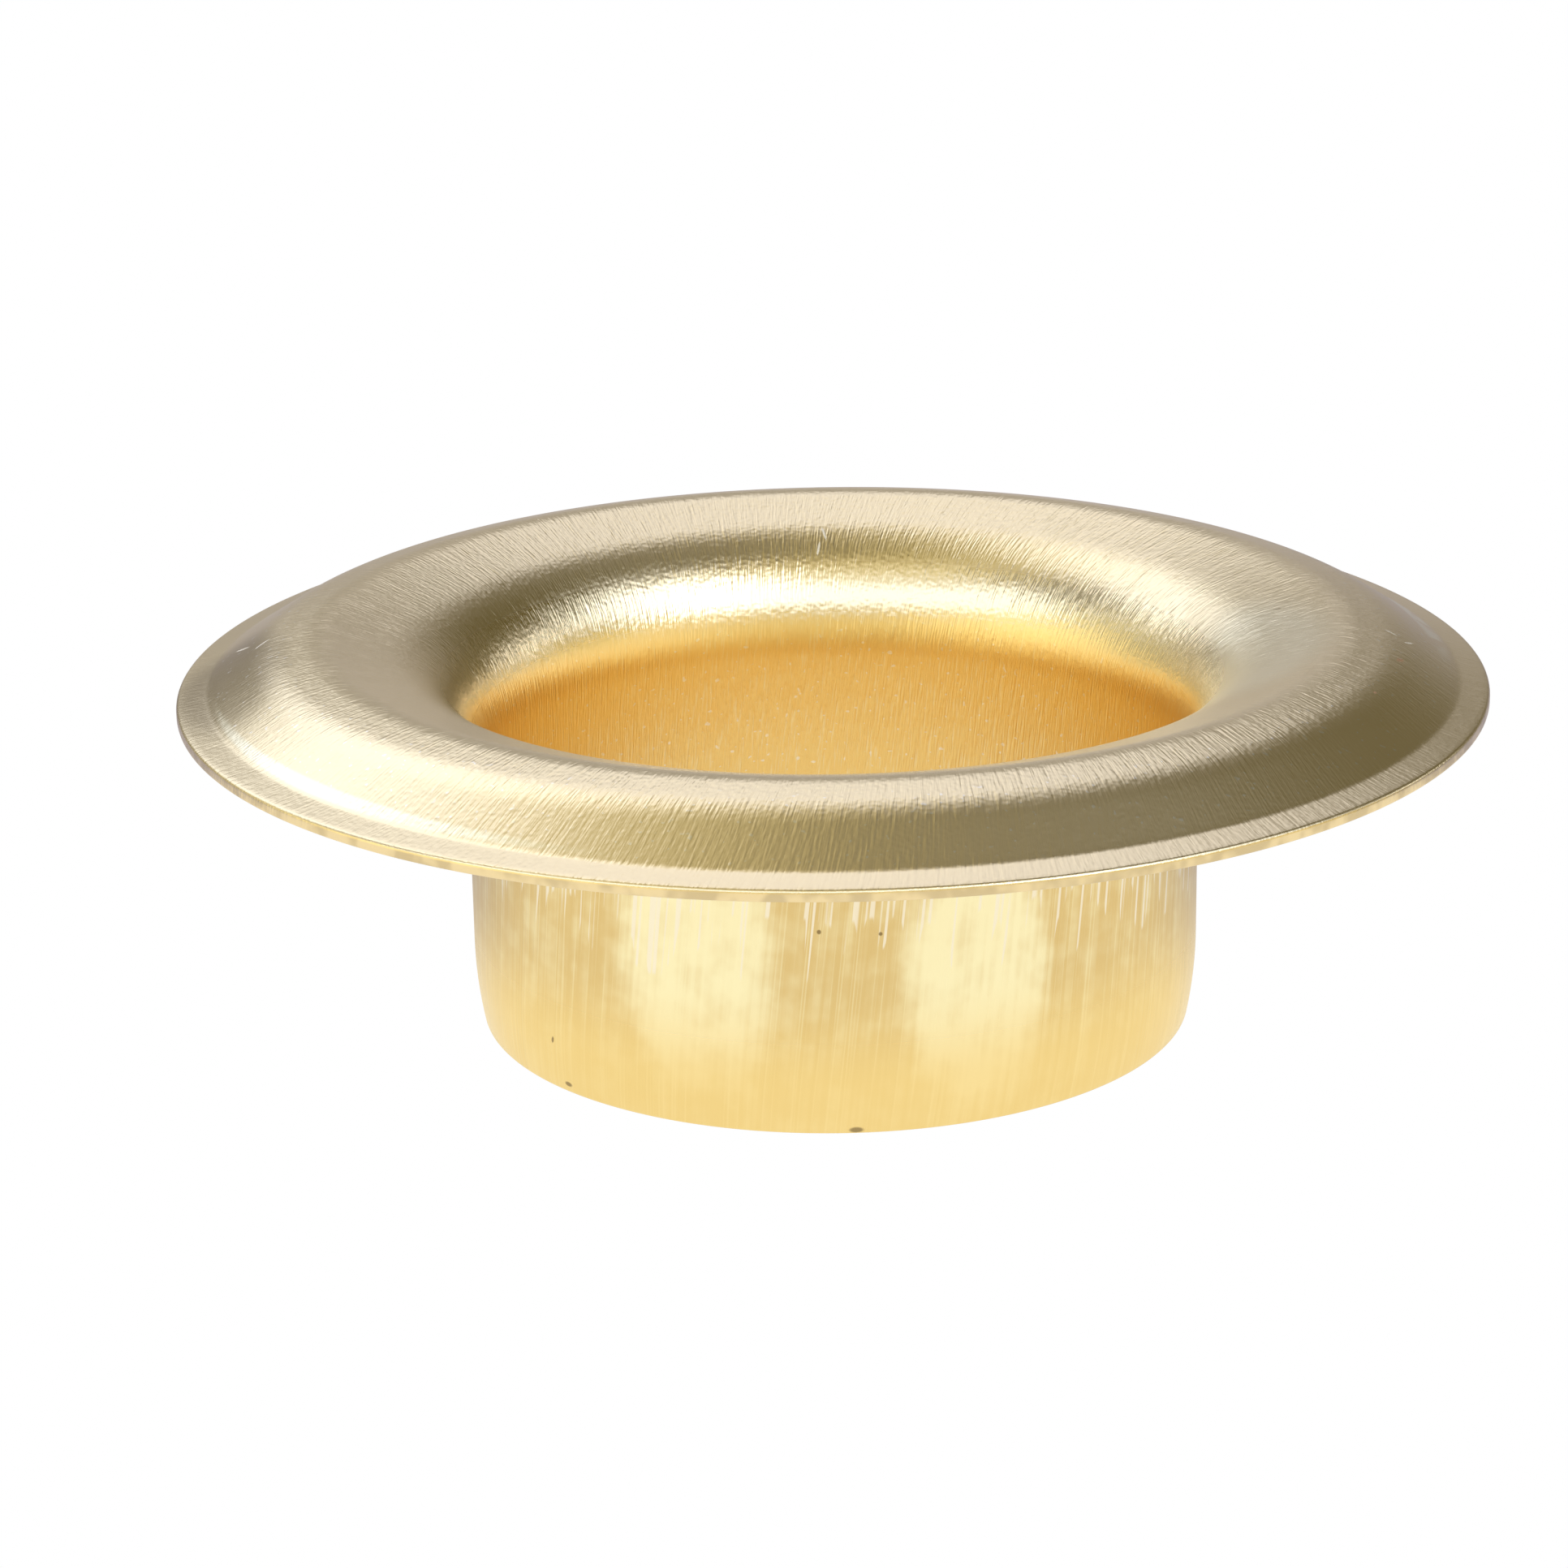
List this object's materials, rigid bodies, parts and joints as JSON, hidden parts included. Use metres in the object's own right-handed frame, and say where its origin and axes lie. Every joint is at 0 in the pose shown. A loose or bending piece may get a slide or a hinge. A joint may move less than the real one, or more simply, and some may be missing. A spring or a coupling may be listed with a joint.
{
  "type": "grommet eyelet",
  "caption": "Drawn brass grommet eyelet: a domed round flange rolled outwards from a short open barrel, which passes through a punched hole and is set on its far side.",
  "frame": {"origin": "centre of the barrel's cut end, on the surface that the eyelet stands on", "axes": "+Z along the barrel's axis, from the cut end up through the flange"},
  "size_m": [0.019, 0.019, 0.0059],
  "materials": {
    "brass": "drawn brass sheet, satin on the flange, brushed along the barrel"
  },
  "bodies": {
    "root": {"eyelet": "brass"}
  },
  "joints": []
}
